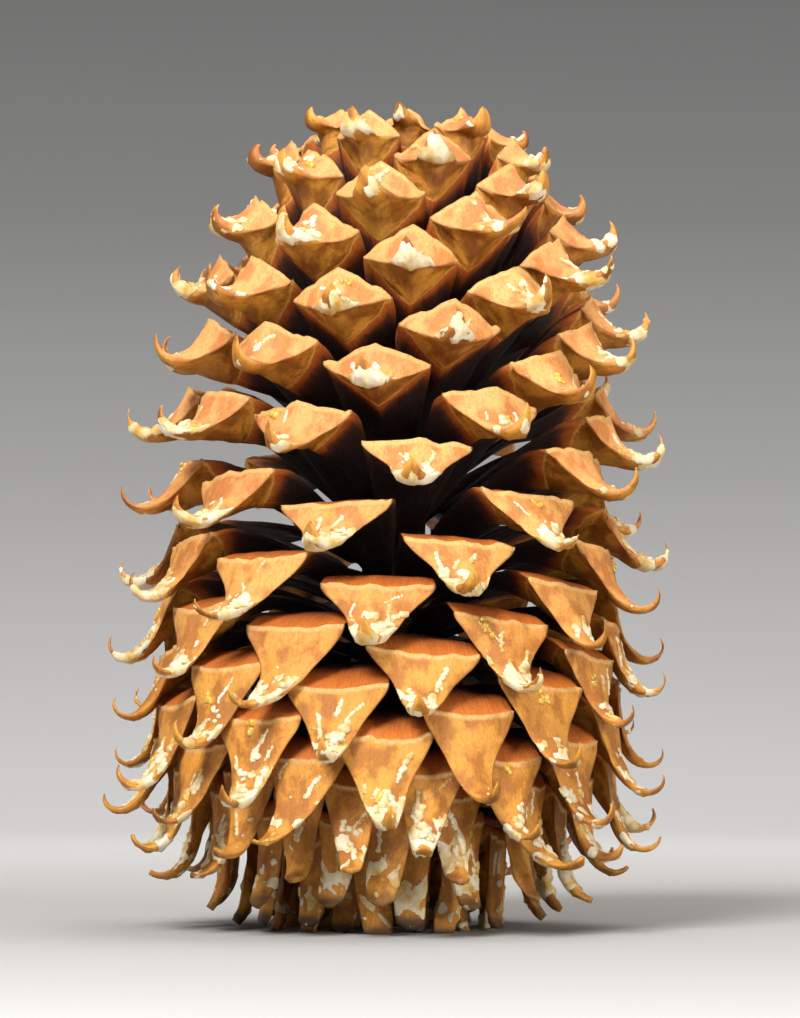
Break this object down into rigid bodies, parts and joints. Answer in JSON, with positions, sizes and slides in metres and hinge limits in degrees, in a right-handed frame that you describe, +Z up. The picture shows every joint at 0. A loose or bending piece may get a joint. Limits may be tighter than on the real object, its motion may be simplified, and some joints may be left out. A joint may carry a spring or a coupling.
{
  "type": "pine cone",
  "caption": "Large open clawed pine cone that stands upright on its own lowest scales; woody scales with up-curved claws on a central axis.",
  "frame": {"origin": "centre of the bounding box in plan, on the plane that the lowest scale tips stand on", "axes": "+Z up, along the cone's length; the cone's front looks along -Y; +X is to the right seen from the front"},
  "size_m": [0.1728, 0.178, 0.2546],
  "materials": {
    "axis_wood": "rough dark woody core",
    "scale_wood": "matt tan-pink and golden-brown scale wood, purple-brown on the inner blades, paler toothed ridge",
    "resin": "dried pine resin, crusted white to clear amber"
  },
  "bodies": {
    "root": {"axis": "axis_wood", "scale_row_01": "scale_wood", "scale_row_02": "scale_wood", "scale_row_03": "scale_wood", "scale_row_04": "scale_wood", "scale_row_05": "scale_wood", "scale_row_06": "scale_wood", "scale_row_07": "scale_wood", "scale_row_08": "scale_wood", "scale_row_09": "scale_wood", "scale_row_10": "scale_wood", "scale_row_11": "scale_wood", "scale_row_12": "scale_wood", "scale_row_13": "scale_wood"}
  },
  "joints": []
}
